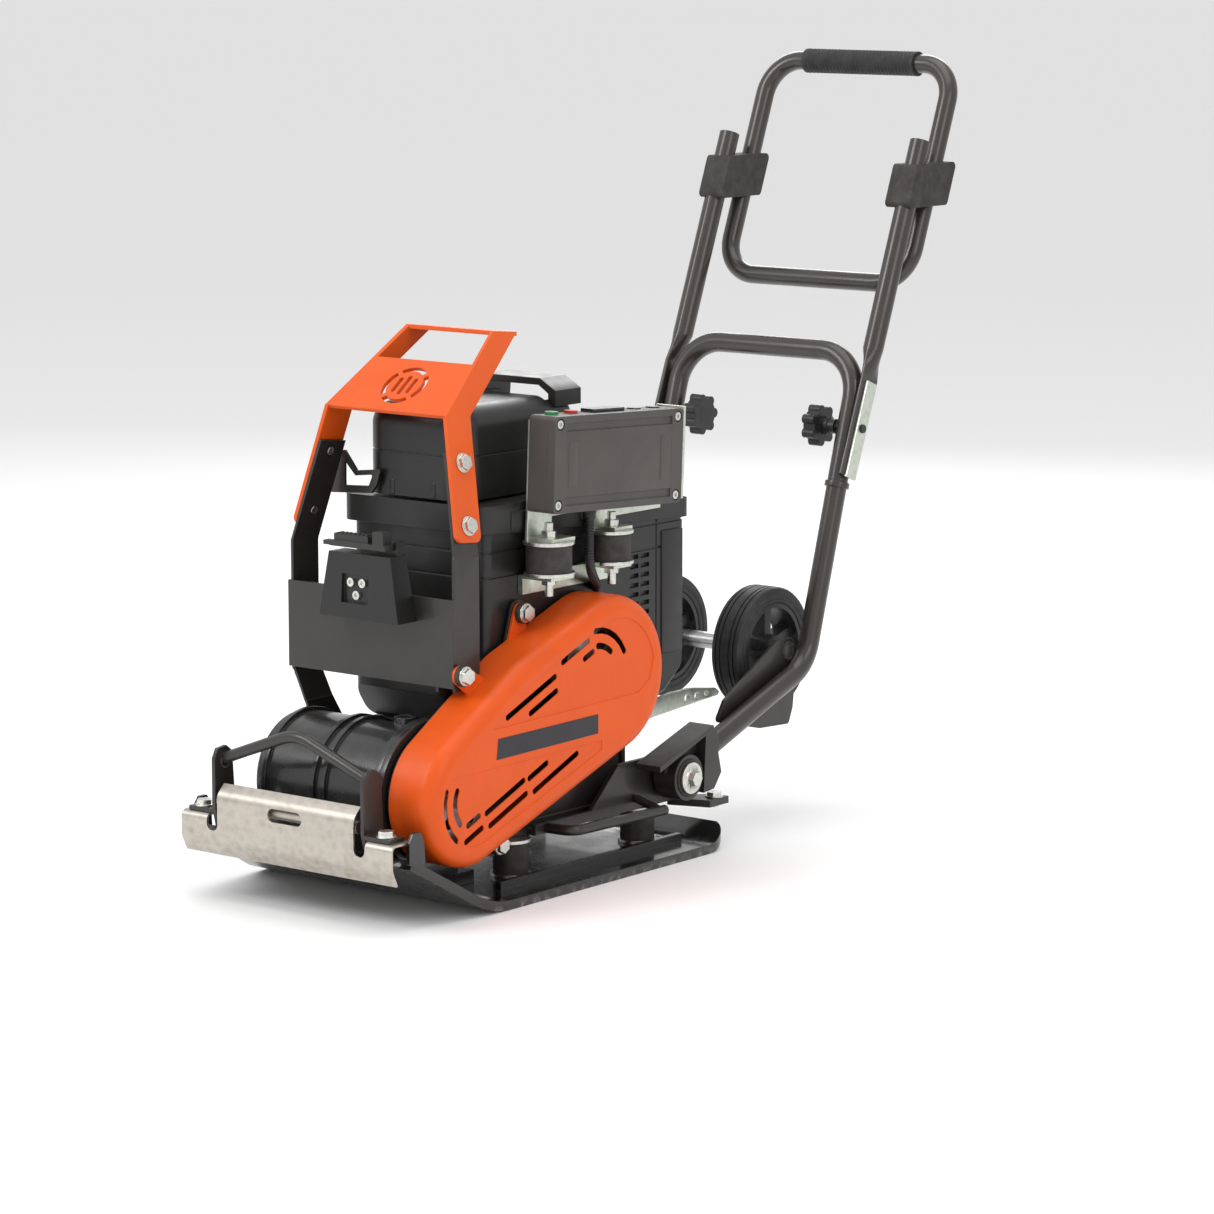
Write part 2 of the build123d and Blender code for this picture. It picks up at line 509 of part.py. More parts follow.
def rim_z(y):
    return 404.0 - 20.0 * (y + 140) / 372
body = yz([(MH_Y0, 215), (MH_Y0, rim_z(MH_Y0) - 0.1), (MH_Y1, rim_z(MH_Y1) - 0.1), (MH_Y1, 208), (MH_Y1 - 36, 177),
           (-104, 177)], -MH_X, MH_X)
body = fillet(body.edges().filter_by(Axis.X).filter_by(lambda e: e.center().Y > 190 and e.center().Z < 220), 20)
body = fillet(body.edges().filter_by(Axis.Z), 12)
for z in (352, 380):
    line = box(-120, 120, MH_Y0 - 5, MH_Y1 + 5, z, z + 2.4)
    core = fillet(box(-MH_X + 1.6, MH_X - 1.6, MH_Y0 + 1.6, MH_Y1 - 1.6, z, z + 2.4).edges().filter_by(Axis.Z), 10.4)
    body = body - (line - core)
cav = cyl("x", MO_Y, MO_Z, 80.5, -30, MH_X + 10) + box(-30, MH_X - 14, -50, 96, 170, 231)
body = body - cav
for col in range(2):
    for row in range(9):
        y, z = 128 + 20 * col, 256 + 11 * row
        body = body - box(MH_X - 4, MH_X + 2, y, y + 16, z, z + 5)
for col in range(2):
    for row in range(9):
        y, z = 128 + 20 * col, 256 + 11 * row
        body = body - box(-MH_X - 2, -MH_X + 4, y, y + 16, z, z + 5)
body = body - both(box(MH_X - 1.5, MH_X + 2, 176, 178, 200, 400))
COND = [(130, 14, 419.0), (130, 14, 350), (106, 58, 325), (88, 74, 316)]
body = body - tube(COND, 16, 5.8)
out(body, "motor_housing")
rimp = yz([(-140, rim_z(-140)), (-140, 434), (100, 437), (238, 405), (238, rim_z(238))], -106, 104)
rimp = fillet(rimp.edges().filter_by(Axis.Z), 16)
out(rimp, "housing_rim")

BX0, BX1, BY0, BY1, BZ1 = -75, 74, -138, 70, 541
pack = box(BX0, BX1, BY0, BY1, 437.4, BZ1)
pack = fillet(pack.edges().filter_by(Axis.Z), 30)
pack = fillet(pack.faces().sort_by(Axis.Z)[-1].edges(), 26)


def groove(x, y0, y1, z, high, deep, r):
    # a line cut round an upright rounded block
    core = box(-x + deep, x - deep, y0 + deep, y1 - deep, z, z + high)
    return box(-x - 5, x + 5, y0 - 5, y1 + 5, z, z + high) - fillet(core.edges().filter_by(Axis.Z), r)


pack = pack - Pos(-0.5, 0, 0) * groove(74.5, BY0, BY1, 486, 1.8, 1.3, 28.7)
pod = fillet(box(BX0 - 24, BX0 + 12, -96, -20, 452, 520).edges(), 9)
pack = pack + pod
scoop = box(-30, 62, 18, BY1 + 5, BZ1 - 20, BZ1 + 5)
pack = pack - scoop
out(pack, "battery_pack")
grip = xz([(-44, BZ1 - 12), (-44, BZ1 + 12), (-36, BZ1 + 19), (50, BZ1 + 19), (73, BZ1 + 6), (73, BZ1 - 12),
           (62, BZ1 - 12), (62, BZ1 + 2), (48, BZ1 + 11), (-30, BZ1 + 11), (-32, BZ1 - 12)], 24, BY1, 0)
grip = grip - pack
out(grip, "battery_grip")

# ---------------------------------------------------------------- control box and its bracket
CX0, CX1, CY0, CY1, CZ0, CZ1 = 112, 150, -74, 156, 424, 532
TILT = -2.8                               # the box leans back by this many degrees


def lean(shape):
    return Pos(0, CY0, CZ0) * Rot(TILT, 0, 0) * Pos(0, -CY0, -CZ0) * shape


cbox = fillet(box(CX0, CX1 - 12, CY0, CY1, CZ0, CZ1).edges().filter_by(Axis.X), 5)
cbox = cbox - box(CX0 + 4, CX1 - 11, CY0 + 4, CY1 - 4, CZ0 + 4, CZ1 - 4)
BTN = [(-52, 8.0), (-18, 8.0), (96, 8.0), (130, 8.0)]
for y, r in BTN:
    cbox = cbox - cyl("z", 125, y, r, CZ1 - 10, CZ1 + 2)
cbox = lean(cbox)
out(cbox, "control_box_base")
lid = fillet(box(CX1 - 12, CX1, CY0, CY1, CZ0, CZ1).edges().filter_by(Axis.X), 5)
lid = lid - box(CX1 - 2.2, CX1 + 1, CY0 + 20, CY1 - 20, CZ0 + 8, CZ1 - 8)
lid = lid - box(CX1 - 13, CX1 - 3.5, CY0 + 22, CY1 - 22, CZ0 + 10, CZ1 - 10)
corners = [(y, z) for y in (CY0 + 9, CY1 - 9) for z in (CZ0 + 9, CZ1 - 9)]
for y, z in corners:
    lid = lid - cyl("x", y, z, 6.5, CX1 - 4.5, CX1 + 1) - cyl("x", y, z, 3, CX1 - 9, CX1)
out(lean(lid), "control_box_lid")
small = [lean(socket_screw((CX1 - 4.5, y, z), (1, 0, 0), shank=4, d=5.6)) for y, z in corners]
small += [socket_screw((x, -236, z), (0, -1, 0), shank=3, d=5.6) for x, z in SCREW_XZ]
out(group(small), "small_screws")
for k, (y, r) in enumerate(BTN[:2]):
    name = ("start_button", "stop_button")[k]
    out(lean(cyl("z", 125, y, r - 0.4, CZ1 - 3.9, CZ1 + 3.5)), name)
lamps = [cyl("z", 125, y, r, CZ1 - 4, CZ1 + 1.5) for y, r in BTN[2:]]
display = fillet(box(115, 135, 10, 68, CZ1, CZ1 + 4).edges().filter_by(Axis.Z), 3)
out(group([lean(display)] + [lean(p) for p in lamps]), "display")
BK = DZ + 35
brk = lean(box(108.4, 111.9, -72, 168, 380, 526) + box(108.4, 149, 158, 162, 428, 534))
brk = brk - box(100, 160, -30, 34, 360, 414) - box(100, 160, 84, 200, 360, 402) - box(100, 160, -100, 200, 300, BK)
arm_low = box(98.2, 106, DAMP_Y[0] - 20, DAMP_Y[1] + 20, DZ - 26, DZ - 4)
for y, r in zip(DAMP_Y, DAMP_R):
    brk = brk + box(108.4, DAMP_X + r - 6, y - r + 8, y + r - 4, BK, BK + 4) - cyl("z", DAMP_X, y, 4.95, 380, 400)
    arm_low = arm_low + box(98.2, DAMP_X + r - 6, y - r + 6, y + r - 6, DZ - 8, DZ - 4)
for y in DAMP_Y:
    arm_low = arm_low - cyl("z", DAMP_X, y, 4.95, 340, 356)
arm_low = arm_low - tube(COND, 16, 5.9)
out(group([brk, arm_low]), "box_bracket")

# corrugated conduit from the control box down to the housing behind the cover
cond = tube(COND, 16, 5.6)
out(cond, "conduit")

# ---------------------------------------------------------------- handle: fixed pivot hardware
pb = cyl("x", PIV_Y, PIV_Z, 5.95, 96, 158)
for x0, h in ((154.2, 8), (97, 8.8)):
    pb = pb + extrude(Plane((x0, PIV_Y, PIV_Z), x_dir=(0, 1, 0), z_dir=(1, 0, 0)) * RegularPolygon(9.2, 6), amount=h)
wash = cyl("x", PIV_Y, PIV_Z, 18.5, 151.2, 154.2) - cyl("x", PIV_Y, PIV_Z, 5.95, 140, 160)
slv = cyl("x", PIV_Y, PIV_Z, 10, 112.1, 151.2) - cyl("x", PIV_Y, PIV_Z, 5.95, 100, 160)
out(group([pb, wash, slv, mirror_x(pb), mirror_x(wash), mirror_x(slv)]), "pivot_bolts")

# moving: rubber bush, sleeve bracket
bush = cyl("x", PIV_Y, PIV_Z, 22, 113, 150.4) - cyl("x", PIV_Y, PIV_Z, 10.05, 100, 160)
out(group([bush, mirror_x(bush)]), "handle_bushes")
SL = radians(17.5)
brc = cyl("x", PIV_Y, PIV_Z, 27, 118, 149)
brc = brc + yz([(PIV_Y - 58, 103), (PIV_Y - 58, 110), (PIV_Y + 44, 144), (PIV_Y + 44, 139)], 116, 152)
brc = brc + yz([(PIV_Y - 30, 96), (PIV_Y - 20, 116), (PIV_Y + 44, 139), (PIV_Y + 44, 128), (PIV_Y + 10, 96)], 131, 136)
brc = brc + yz([(PIV_Y + 26, 66), (PIV_Y + 46, 68), (PIV_Y + 60, 86), (PIV_Y + 54, 110), (PIV_Y + 56, 128),
                (PIV_Y + 44, 142), (PIV_Y + 30, 137)], 117, 151)
brc = brc - cyl("x", PIV_Y, PIV_Z, 22, 100, 160)

# lower handle: tubes from the brackets, bend, legs and arch
LOW = radians(20.2)
leg_dy = 0.298
leg0 = Vector(0, 460.3, 308.3)


def leg_y(z):
    return 460.3 + leg_dy * (z - 308.3)


def low_z(y):
    return 122.8 + tan(LOW) * (y - 255.7)


by = 423.0
for _ in range(20):
    by = leg_y(low_z(by))
bend = (LEG_X, by, low_z(by))
arch_z = 552.0
start = (LEG_X, PIV_Y + 44, low_z(PIV_Y + 44))
path_pts = [start, bend, (LEG_X, leg_y(arch_z), arch_z), (-LEG_X, leg_y(arch_z), arch_z),
            (-bend[0], bend[1], bend[2]), (-start[0], start[1], start[2])]
lower = tube(path_pts, 56, TUBE_R, TUBE_B)
collar_z = 393.0
cdir = Vector(0, leg_dy, 1).normalized()
for s in (-1, 1):
    pl = Plane(origin=(s * LEG_X, leg_y(collar_z), collar_z), z_dir=tuple(cdir))
    lower = lower + extrude(pl * (Circle(15) - Circle(TUBE_R - 1)), amount=7)
    pk = Plane(origin=(s * LEG_X, KNOB_Y, KNOB_Z), x_dir=(0, 1, 0), z_dir=(1, 0, 0))
    lower = lower - extrude(pk * Circle(5.2), amount=20, both=True)
brc = brc - cyl("y", LEG_X, 0, 1, 0, 1)
stub = tube([start, (LEG_X, start[1] + 30, start[2] + 30 * tan(LOW))], 1, TUBE_R + 0.0)
brc = brc - stub
out(group([brc, mirror_x(brc)]), "handle_brackets")
out(lower, "lower_handle")

# wheels
wb = yz([(266, 136), (282, 160), (388, 218), (WH_Y + 6, WH_Z + 16), (WH_Y + 18, WH_Z), (418, 132), (410, 113),
         (352, 116)], 115, 119.5, 5)
wb = wb - cyl("x", WH_Y, WH_Z, AXLE_R, 100, 130)
out(group([wb, mirror_x(wb)]), "wheel_brackets")
out(cyl("x", WH_Y, WH_Z, AXLE_R, -119.5, 119.5), "axle")
for side, sgn in (("left", -1), ("right", 1)):
    xa, xb = sorted((sgn * 57, sgn * 99))
    tyre = cyl("x", WH_Y, WH_Z, WH_R, xa, xb) - cyl("x", WH_Y, WH_Z, 56, xa, xb)
    tyre = fillet(tyre.edges().filter_by(lambda e: abs(e.length - 2 * pi * WH_R) < 2), 6)
    rim = cyl("x", WH_Y, WH_Z, 56, xa + 2, xb - 2) - cyl("x", WH_Y, WH_Z, 50, xa, xb)
    rim = rim + cyl("x", WH_Y, WH_Z, 17, xa - 1, xb + 1)
    for i in range(5):
        a = 72 * i + 90
        sp = Plane(origin=((xa + xb) / 2, WH_Y, WH_Z), x_dir=(1, 0, 0),
                   z_dir=(0, cos(radians(a)), sin(radians(a)))) * Pos(0, 0, 34) * Box(20, 13, 38)
        rim = rim + sp
    rim = rim - cyl("x", WH_Y, WH_Z, AXLE_R + 0.06, xa - 5, xb + 5)
    out(tyre, f"tyre_{side}")
    out(rim, f"rim_{side}")

# ---------------------------------------------------------------- upper handle
UP_DY = 0.387


def up_y(z):
    return KNOB_Y + UP_DY * (z - KNOB_Z)


TOP_Z = 800.0
udir = Vector(0, UP_DY, 1).normalized()
NECK0, NECK1 = 522.0, 556.0
side = tube([(UP_X, up_y(NECK1), NECK1), (UP_X, up_y(TOP_Z), TOP_Z)], 1, TUBE_R, TUBE_B)
flat_c = UP_X + 4.0
pf = Plane(origin=(flat_c, up_y(408), 408), x_dir=(1, 0, 0), z_dir=tuple(udir))
lf = (NECK0 - 408) * sqrt(1 + UP_DY ** 2)
flat = extrude(pf * RectangleRounded(5.0, 32, 2.0), amount=lf)
p1 = Plane(origin=(flat_c, up_y(NECK0), NECK0), x_dir=(1, 0, 0), z_dir=tuple(udir))
p2 = Plane(origin=(UP_X, up_y(NECK1), NECK1), x_dir=(1, 0, 0), z_dir=tuple(udir))
neck = loft([p1 * RectangleRounded(5.0, 32, 2.0), p2 * Circle(TUBE_R)])
side = side + flat + neck
side = side - cyl("x", KNOB_Y, KNOB_Z, 5.2, 120, 170)
ptop = Plane(origin=(UP_X, up_y(TOP_Z), TOP_Z), z_dir=tuple(udir))
side = side + extrude(ptop * Circle(TUBE_R), amount=3)
out(group([side, mirror_x(side)]), "upper_handle")
zp = extrude(Plane(origin=(flat_c + 4.55, up_y(406), 406), x_dir=(1, 0, 0), z_dir=tuple(udir))
             * Rectangle(4, 20), amount=(518 - 406) * sqrt(1 + UP_DY ** 2))
zp = zp - cyl("x", KNOB_Y, KNOB_Z, 5.2, 120, 170)
out(group([zp, mirror_x(zp)]), "pivot_plates")

# grip loop behind the side tubes, held by two rubber blocks
GAP = 48.0


def loop_y(z):
    return up_y(z) + GAP


LX, LZ0, LZ1 = 139.0, 629.0, 892.0
corners_l = [(0, loop_y(LZ0), LZ0), (LX, loop_y(LZ0), LZ0), (LX, loop_y(LZ1), LZ1), (0, loop_y(LZ1), LZ1)]
half = tube(corners_l, 46, TUBE_R - 1.0, TUBE_B - 1.0)
loop = half + mirror_x(half)
out(loop, "grip_loop")
blocks = []
for s in (-1, 1):
    z0, z1 = 724, 776
    bl = yz([(up_y(z0) - 16, z0), (loop_y(z0) + 20, z0), (loop_y(z1) + 20, z1), (up_y(z1) - 16, z1)],
            *sorted((s * 124, s * 160)), 6)
    bl = bl - tube([(s * UP_X, up_y(700), 700), (s * UP_X, up_y(799), 799)], 1, TUBE_R)
    bl = bl - tube([(s * LX, loop_y(690), 690), (s * LX, loop_y(800), 800)], 1, TUBE_R - 1.0)
    blocks.append(bl)
out(group(blocks), "loop_isolators")
gr = tube([(-84, loop_y(LZ1), LZ1), (84, loop_y(LZ1), LZ1)], 1, 15.5, TUBE_R - 1.0)
out(gr, "grip_sleeve")

# knobs: seven lobes, boss towards the leg, stud through leg, flat end and plate
for side_n, s in (("left", -1), ("right", 1)):
    pl = Plane(origin=(s * 82, KNOB_Y, KNOB_Z), x_dir=(0, 1, 0), z_dir=(s, 0, 0))
    disc = Circle(20)
    for i in range(7):
        a = 2 * pi * i / 7
        disc = disc + Pos(19.5 * cos(a), 19.5 * sin(a)) * Circle(6)
    kn = extrude(pl * disc, amount=17)
    kn = kn + extrude(pl.offset(17) * Circle(11), amount=10) + extrude(pl.offset(27) * Circle(9), amount=9)
    kn = kn + extrude(pl.offset(30) * Circle(5.12), amount=46)
    out(kn, f"knob_{side_n}")
# ---------------------------------------------------------------- flange bolts of the fixed body
fb = [bolt((s * 134, -338, 103.2), (0, 0, 1), shank=10) for s in (-1, 1)]
fb += [bolt((x + EAR_T + 6, y, z), (1, 0, 0), shank=13.4) for y, z, x in EARS]
for p in STRAP_B:
    for s in (-1, 1):
        q = Vector(s * p.X, p.Y, p.Z)
        n = Vector(s * sn.X, sn.Y, sn.Z)
        fb.append(bolt(tuple(q), tuple(n), shank=10))
fb += [bolt((s * 139, 236, 54.5), (0, 0, 1), head=6, shank=12) for s in (-1, 1)]
out(group(fb), "flange_bolts")
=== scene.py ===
import json
import math
import random

import bmesh
import bpy
from mathutils import Matrix, Vector


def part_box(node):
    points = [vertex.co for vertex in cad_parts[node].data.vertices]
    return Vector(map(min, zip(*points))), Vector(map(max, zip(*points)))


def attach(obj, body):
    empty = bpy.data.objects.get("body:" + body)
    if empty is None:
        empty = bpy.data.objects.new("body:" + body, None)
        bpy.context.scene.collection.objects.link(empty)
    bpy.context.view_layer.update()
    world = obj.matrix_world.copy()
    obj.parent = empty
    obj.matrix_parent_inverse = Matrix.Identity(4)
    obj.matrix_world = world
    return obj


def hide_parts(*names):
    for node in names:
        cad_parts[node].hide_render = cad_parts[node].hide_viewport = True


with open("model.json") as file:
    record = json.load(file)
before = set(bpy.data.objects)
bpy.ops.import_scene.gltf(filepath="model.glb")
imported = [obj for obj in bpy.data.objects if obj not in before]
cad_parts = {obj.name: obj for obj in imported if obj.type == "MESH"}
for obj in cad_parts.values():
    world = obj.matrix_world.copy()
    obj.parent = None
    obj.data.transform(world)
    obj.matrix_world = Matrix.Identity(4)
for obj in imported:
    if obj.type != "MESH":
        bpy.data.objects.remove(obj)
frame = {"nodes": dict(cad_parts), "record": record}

random.seed(7)
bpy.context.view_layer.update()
nodes = frame["nodes"]
record = frame["record"]
slot_of = {s["node"]: s["material_slot"] for s in record["subparts"]}
body_of = {n: b for b, group in record["behaviour"]["bodies"].items() for n in group}
joint = {j["name"]: j for j in record["behaviour"]["joints"]}
MM = 0.001


def metres(values):
    return [v * MM for v in values]


# ---------------------------------------------------------------- material builder
class Graph:
    """A small helper that wires one procedural material."""

    def __init__(self, name):
        self.material = bpy.data.materials.new(name)
        self.material.use_nodes = True
        self.tree = self.material.node_tree
        self.shader = self.tree.nodes["Principled BSDF"]
        self.coords = self.tree.nodes.new("ShaderNodeTexCoord")

    def add(self, kind, **values):
        node = self.tree.nodes.new("ShaderNode" + kind)
        for key, value in values.items():
            setattr(node, key, value)
        return node

    def link(self, a, b):
        self.tree.links.new(a, b)

    def place(self, stretch=(1, 1, 1)):
        m = self.add("Mapping")
        m.inputs["Scale"].default_value = stretch
        self.link(self.coords.outputs["Object"], m.inputs["Vector"])
        return m.outputs["Vector"]

    def noise(self, scale, detail=4, stretch=(1, 1, 1), rough=0.55):
        n = self.add("TexNoise")
        n.inputs["Scale"].default_value = scale
        n.inputs["Detail"].default_value = detail
        n.inputs["Roughness"].default_value = rough
        self.link(self.place(stretch), n.inputs["Vector"])
        return n.outputs["Fac"]

    def cells(self, scale):
        v = self.add("TexVoronoi")
        v.inputs["Scale"].default_value = scale
        self.link(self.place(), v.inputs["Vector"])
        return v.outputs["Distance"]

    def ramp(self, value, stops):
        r = self.add("ValToRGB")
        while len(r.color_ramp.elements) < len(stops):
            r.color_ramp.elements.new(0.5)
        for e, (at, colour) in zip(r.color_ramp.elements, stops):
            e.position = at
            e.color = (*colour, 1)
        self.link(value, r.inputs["Fac"])
        return r.outputs["Color"]

    def span(self, value, lo, hi, a=0.3, b=0.7):
        m = self.add("MapRange")
        for key, number in (("From Min", a), ("From Max", b), ("To Min", lo), ("To Max", hi)):
            m.inputs[key].default_value = number
        self.link(value, m.inputs["Value"])
        return m.outputs["Result"]

    def mix(self, factor, a, b):
        m = self.add("Mix", data_type="RGBA")
        self.link(factor, m.inputs[0])
        for socket, value in ((m.inputs[6], a), (m.inputs[7], b)):
            if isinstance(value, tuple):
                socket.default_value = (*value, 1)
            else:
                self.link(value, socket)
        return m.outputs[2]

    def times(self, a, b):
        m = self.add("Math", operation="MULTIPLY")
        for socket, value in zip(m.inputs, (a, b)):
            if isinstance(value, (int, float)):
                socket.default_value = value
            else:
                self.link(value, socket)
        return m.outputs[0]

    def facing_up(self, lo=0.6, hi=0.98):
        g = self.add("NewGeometry")
        s = self.add("SeparateXYZ")
        self.link(g.outputs["Normal"], s.inputs[0])
        return self.span(s.outputs["Z"], 0, 1, lo, hi)

    def height(self):
        s = self.add("SeparateXYZ")
        self.link(self.coords.outputs["Object"], s.inputs[0])
        return s.outputs["Z"]

    def bump(self, value, strength, distance=0.0005, before=None):
        b = self.add("Bump")
        b.inputs["Strength"].default_value = strength
        b.inputs["Distance"].default_value = distance
        self.link(value, b.inputs["Height"])
        if before is not None:
            self.link(before, b.inputs["Normal"])
        return b.outputs["Normal"]

    def done(self, colour, roughness, normal, **fixed):
        self.link(colour, self.shader.inputs["Base Color"])
        self.link(roughness, self.shader.inputs["Roughness"])
        self.link(normal, self.shader.inputs["Normal"])
        for key, value in fixed.items():
            self.shader.inputs[key.replace("_", " ")].default_value = value
        return self.material


def scaled(colour, k):
    return tuple(min(1.0, c * k) for c in colour)


def painted(name, colour, rough, peel=260.0, peel_depth=0.12, coat=0.25, vary=0.12, dust=0.10, chips=0.0,
            shine=0.5):
    """Powder coat or enamel: orange peel, slow colour drift, faint dust on top faces, small chips."""
    g = Graph(name)
    drift = g.ramp(g.noise(9, 5), [(0.3, scaled(colour, 1 - vary)), (0.7, scaled(colour, 1 + vary))])
    if dust:
        film = g.times(g.times(g.facing_up(), g.span(g.noise(34, 6), 0, 1, 0.42, 0.7)), dust)
        drift = g.mix(film, drift, (0.30, 0.27, 0.235))
    if chips:
        spots = g.span(g.noise(150, 8, rough=0.7), 0, chips, 0.70, 0.74)
        drift = g.mix(spots, drift, (0.22, 0.20, 0.18))
    wave = g.bump(g.noise(38, 2), 0.10, 0.0008)
    fine = g.bump(g.noise(peel * 3, 3), peel_depth, 0.0004, wave)
    gloss = g.span(g.noise(24, 6), rough - 0.06, rough + 0.09)
    return g.done(drift, gloss, fine, Coat_Weight=coat, Coat_Roughness=0.12, Specular_IOR_Level=shine)


def moulded(name, colour, rough, grain=1500.0, depth=0.35, vary=0.10, dust=0.05, shine=0.5):
    """Injection moulded plastic with a spark-eroded grain."""
    g = Graph(name)
    drift = g.ramp(g.noise(14, 4), [(0.3, scaled(colour, 1 - vary)), (0.7, scaled(colour, 1 + vary))])
    if dust:
        film = g.times(g.times(g.facing_up(0.5, 1.0), g.span(g.noise(60, 6), 0, 1, 0.40, 0.75)), dust)
        drift = g.mix(film, drift, (0.32, 0.29, 0.26))
    flow = g.bump(g.noise(22, 2), 0.06, 0.0008)
    fine = g.bump(g.cells(grain), depth, 0.00012, flow)
    gloss = g.span(g.noise(46, 5), rough - 0.05, rough + 0.07)
    return g.done(drift, gloss, fine, Specular_IOR_Level=shine)


def plated(name, colour, rough, spangle=120.0, brushed=(1, 1, 1), stain=0.0, scratch=0.25):
    """Bare or plated metal: spangle, brush lines, stains and hairline scratches."""
    g = Graph(name)
    base = g.ramp(g.cells(spangle), [(0.0, scaled(colour, 0.88)), (0.6, scaled(colour, 1.08))])
    if stain:
        blot = g.times(g.span(g.noise(75, 9, rough=0.7), 0, stain, 0.52, 0.70), 0.45)
        base = g.mix(blot, base, (0.21, 0.150, 0.10))
        near = g.span(g.height(), 1.0, 0.25, 0.035, 0.085)
        low = g.times(g.span(g.noise(110, 9, (0.5, 1, 1)), 0, stain, 0.50, 0.60), near)
        base = g.mix(low, base, (0.33, 0.27, 0.20))
    lines = g.noise(420, 3, brushed)
    fine = g.bump(lines, scratch, 0.0002, g.bump(g.noise(60, 5), 0.12, 0.0006))
    gloss = g.span(g.noise(48, 7, brushed), rough - 0.08, rough + 0.16)
    return g.done(base, gloss, fine, Metallic=1.0)


def rubbery(name, colour, rough, grit=0.5):
    """Matt rubber, greyer where it is worn."""
    g = Graph(name)
    worn = g.ramp(g.noise(90, 7), [(0.35, scaled(colour, 0.75)), (0.68, scaled(colour, 1.5))])
    fine = g.bump(g.noise(900, 5), grit, 0.0003, g.bump(g.noise(70, 3), 0.15, 0.0006))
    return g.done(worn, g.span(g.noise(55, 6), rough - 0.08, rough + 0.08), fine)


def enamel(name):
    """The glossy black plate: thick enamel over a cast and rolled surface, greyer towards its worn edge."""
    g = Graph(name)
    base = g.ramp(g.noise(11, 5), [(0.3, (0.005, 0.005, 0.005)), (0.75, (0.011, 0.0105, 0.010))])
    film = g.times(g.times(g.facing_up(0.8, 1.0), g.span(g.noise(42, 8), 0, 1, 0.52, 0.74)), 0.05)
    base = g.mix(film, base, (0.26, 0.235, 0.20))
    rub = g.times(g.span(g.height(), 1, 0, 0.001, 0.010), g.span(g.noise(85, 8), 0, 0.7, 0.46, 0.60))
    base = g.mix(rub, base, (0.16, 0.15, 0.14))
    wave = g.bump(g.noise(20, 3), 0.22, 0.0016)
    fine = g.bump(g.noise(240, 4), 0.10, 0.0006, wave)
    return g.done(base, g.span(g.noise(30, 7), 0.14, 0.34), fine, Coat_Weight=0.5, Coat_Roughness=0.06)


ORANGE = (0.70, 0.094, 0.007)
FINISH = {
    "orange_steel": painted("orange_steel", ORANGE, 0.36, dust=0.02, coat=0.10, vary=0.05, shine=0.28),
    "orange_plastic": moulded("orange_plastic", (0.72, 0.090, 0.006), 0.38, 1100, 0.30, 0.05, 0.01,
                              shine=0.28),
    "black_steel": painted("black_steel", (0.0185, 0.0158, 0.0140), 0.42, chips=0.25),
    "base_iron": enamel("base_iron"),
    "exciter_iron": painted("exciter_iron", (0.013, 0.013, 0.014), 0.24, 120, 0.25, 0.5, dust=0.12),
    "guard_stainless": plated("guard_stainless", (0.50, 0.465, 0.415), 0.38, 90, (0.05, 1, 1), 0.45, 0.30),
    "zinc": plated("zinc", (0.64, 0.64, 0.60), 0.27, 240, stain=0.10),
    "zinc_plate": plated("zinc_plate", (0.60, 0.64, 0.56), 0.36, 150, stain=0.12),
    "machined_steel": plated("machined_steel", (0.50, 0.50, 0.50), 0.28, 300, (1, 0.1, 0.1)),
    "motor_alloy": plated("motor_alloy", (0.55, 0.55, 0.56), 0.48, 500),
    "rubber": rubbery("rubber", (0.030, 0.027, 0.024), 0.72),
    "grip_rubber": rubbery("grip_rubber", (0.018, 0.018, 0.018), 0.66),
    "tyre": rubbery("tyre", (0.017, 0.017, 0.018), 0.58, 0.3),
    "wheel_rim": moulded("wheel_rim", (0.016, 0.016, 0.017), 0.42),
    "housing_plastic": moulded("housing_plastic", (0.0115, 0.0108, 0.0105), 0.36),
    "catch_plastic": moulded("catch_plastic", (0.024, 0.023, 0.022), 0.45),
    "battery_plastic": moulded("battery_plastic", (0.0095, 0.0093, 0.0093), 0.34),
    "box_plastic": moulded("box_plastic", (0.064, 0.058, 0.053), 0.50, 1300, 0.4),
    "conduit_plastic": moulded("conduit_plastic", (0.014, 0.014, 0.015), 0.38),
    "tube_steel": painted("tube_steel", (0.030, 0.0245, 0.021), 0.30, coat=0.3, dust=0.03),
    "knob_plastic": moulded("knob_plastic", (0.011, 0.011, 0.011), 0.40),
    "label_print": painted("label_print", (0.008, 0.006, 0.012), 0.34, 500, 0.04, 0.0, dust=0.0),
    "display_plastic": painted("display_plastic", (0.010, 0.011, 0.014), 0.16, 500, 0.02, 0.6, dust=0.0),
    "start_green": painted("start_green", (0.03, 0.24, 0.07), 0.34, dust=0.02),
    "stop_red": painted("stop_red", (0.50, 0.025, 0.02), 0.34, dust=0.02),
}
SHARP = math.radians(32)        # an edge that turns more than this stays an edge
SAME_POINT = 0.000004           # CAD points this close are one point
EDGE = 0.0005                   # rounding of an ordinary edge
FINE_EDGE = {"cover_label": 0.0001, "display": 0.0003, "small_screws": 0.0003, "belt": 0.0003}


def dress(obj, name, width):
    """Paints a piece and rounds its edges by a hair, so that they catch light."""
    obj.data.materials.clear()
    obj.data.materials.append(FINISH[name])
    if "custom_normal" in obj.data.attributes:
        obj.data.attributes.remove(obj.data.attributes["custom_normal"])
    obj.data.shade_smooth()
    weld = obj.modifiers.new("weld", "WELD")
    weld.merge_threshold = SAME_POINT
    edge = obj.modifiers.new("edge", "BEVEL")
    edge.width = width
    edge.segments = 2
    edge.limit_method = "ANGLE"
    edge.angle_limit = SHARP
    edge.use_clamp_overlap = False
    edge.loop_slide = False
    flat = obj.modifiers.new("flat", "WEIGHTED_NORMAL")
    flat.weight = 70
    flat.keep_sharp = False


